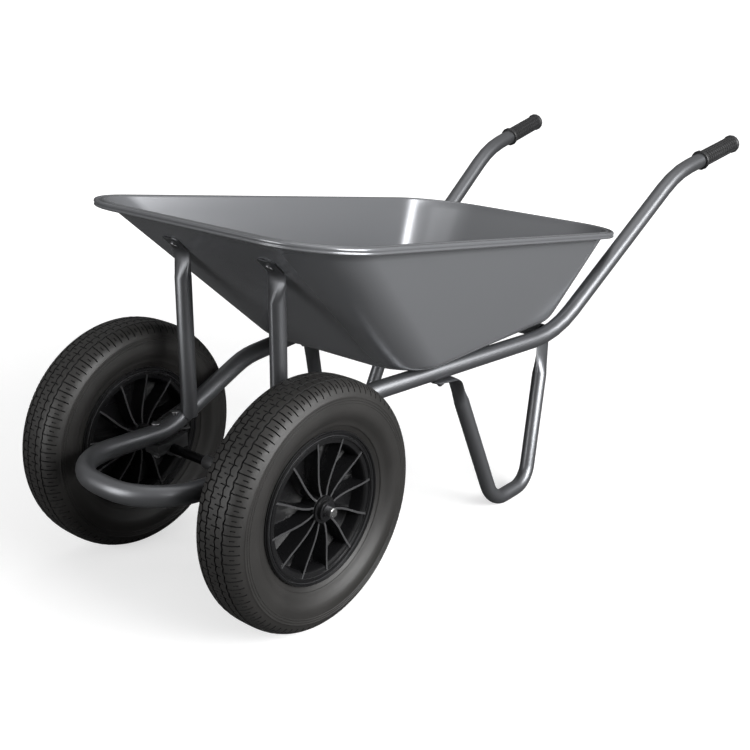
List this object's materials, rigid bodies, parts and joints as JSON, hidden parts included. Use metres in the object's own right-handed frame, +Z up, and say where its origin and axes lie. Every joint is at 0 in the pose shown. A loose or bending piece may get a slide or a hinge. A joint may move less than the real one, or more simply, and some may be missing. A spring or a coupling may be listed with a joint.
{
  "type": "wheelbarrow",
  "caption": "Twin-wheel garden wheelbarrow: pressed steel tray on a bent tube frame with a nose loop, legs, rubber grips and spoked air-tyred wheels.",
  "frame": {"origin": "on the ground, under the middle of the overall box", "axes": "+X forward from the grips to the nose loop, +Y to the left, +Z up"},
  "size_m": [1.5742, 0.566, 0.6192],
  "materials": {
    "tray_paint": "satin dark metallic grey paint",
    "frame_paint": "satin dark metallic grey paint",
    "bracket_paint": "dark grey paint",
    "axle_steel": "bright turned steel",
    "zinc": "bright zinc plate",
    "tyre": "black tread rubber",
    "tube_rubber": "matt black rubber",
    "rim_plastic": "black moulded plastic",
    "bush_plastic": "black moulded plastic",
    "grip_rubber": "black ribbed rubber"
  },
  "bodies": {
    "frame": {"tray": "tray_paint", "left_side_tube": "frame_paint", "right_side_tube": "frame_paint", "nose_loop": "frame_paint", "left_stay": "frame_paint", "right_stay": "frame_paint", "left_leg": "frame_paint", "right_leg": "frame_paint", "leg_cross_tube": "frame_paint", "axle": "axle_steel", "axle_coupling": "bracket_paint", "left_axle_saddle": "bracket_paint", "right_axle_saddle": "bracket_paint", "left_axle_strap": "bracket_paint", "right_axle_strap": "bracket_paint", "left_spacer": "bracket_paint", "right_spacer": "bracket_paint", "axle_washers": "zinc", "axle_circlips": "zinc", "axle_bolts": "zinc", "axle_nuts": "zinc", "stay_bolts": "zinc", "stay_nuts": "zinc", "leg_bolts": "zinc", "leg_nuts": "zinc", "cross_bolts": "zinc", "cross_nuts": "zinc", "left_grip": "grip_rubber", "right_grip": "grip_rubber"},
    "left_wheel": {"left_tyre": "tyre", "left_inner_tube": "tube_rubber", "left_rim": "rim_plastic", "left_bushes": "bush_plastic"},
    "right_wheel": {"right_tyre": "tyre", "right_inner_tube": "tube_rubber", "right_rim": "rim_plastic", "right_bushes": "bush_plastic"}
  },
  "joints": [
    {"name": "left_wheel_spin", "type": "hinge", "parent": "frame", "child": "left_wheel", "pos_m": [0.55606, 0.21, 0.2], "axis": [0, 1, 0], "continuous": true},
    {"name": "right_wheel_spin", "type": "hinge", "parent": "frame", "child": "right_wheel", "pos_m": [0.55606, -0.21, 0.2], "axis": [0, 1, 0], "continuous": true}
  ]
}
